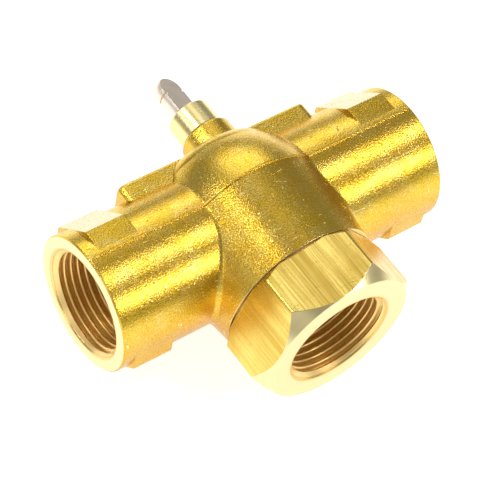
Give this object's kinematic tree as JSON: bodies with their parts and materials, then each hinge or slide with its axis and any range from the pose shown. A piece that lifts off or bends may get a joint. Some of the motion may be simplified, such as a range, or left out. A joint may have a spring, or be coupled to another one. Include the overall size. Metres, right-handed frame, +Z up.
{
  "type": "zone valve body",
  "caption": "Forged brass three-port zone valve with hexagonal end connector, actuator plate and a side stem that swings a ball plug between two seats.",
  "frame": {"origin": "under the middle of the outer box, on its lowest face, with the body lying flat", "axes": "+X along the run, from the left port to the right port; -Y out of the third port; +Y along the stem; +Z up from the plane of the ports"},
  "size_m": [0.091, 0.0798, 0.0452],
  "materials": {
    "forged_brass": "as forged, fine grained",
    "turned_brass": "machined",
    "stem_steel": "dull ground steel",
    "seal_rubber": "moulded",
    "plug_rubber": "moulded",
    "fibre_seal": "pressed fibre",
    "bearing_plastic": "turned"
  },
  "bodies": {
    "housing": {"valve_body": "forged_brass", "end_connector": "turned_brass", "connector_seal": "fibre_seal", "seat_left": "turned_brass", "seat_right": "turned_brass", "seat_oring_left": "seal_rubber", "seat_oring_right": "seal_rubber", "gland_bush": "turned_brass", "gland_gasket": "fibre_seal", "stem_sleeve": "bearing_plastic", "stem_wiper": "seal_rubber", "stem_oring_lower": "seal_rubber", "stem_oring_upper": "seal_rubber", "oring_spacer": "bearing_plastic", "thrust_washer": "bearing_plastic"},
    "rotor": {"stem": "stem_steel", "crank_arm": "turned_brass", "crank_screw": "stem_steel", "plug_pin": "stem_steel", "plug_core": "turned_brass", "plug_ball": "plug_rubber", "plug_collar": "turned_brass", "plug_washer": "stem_steel", "plug_clip": "stem_steel"}
  },
  "joints": [
    {"name": "stem_turn", "type": "hinge", "parent": "housing", "child": "rotor", "pos_m": [0.0038, -0.0029, 0.0276], "axis": [0, 1, 0], "range_deg": [-45, 45]}
  ]
}
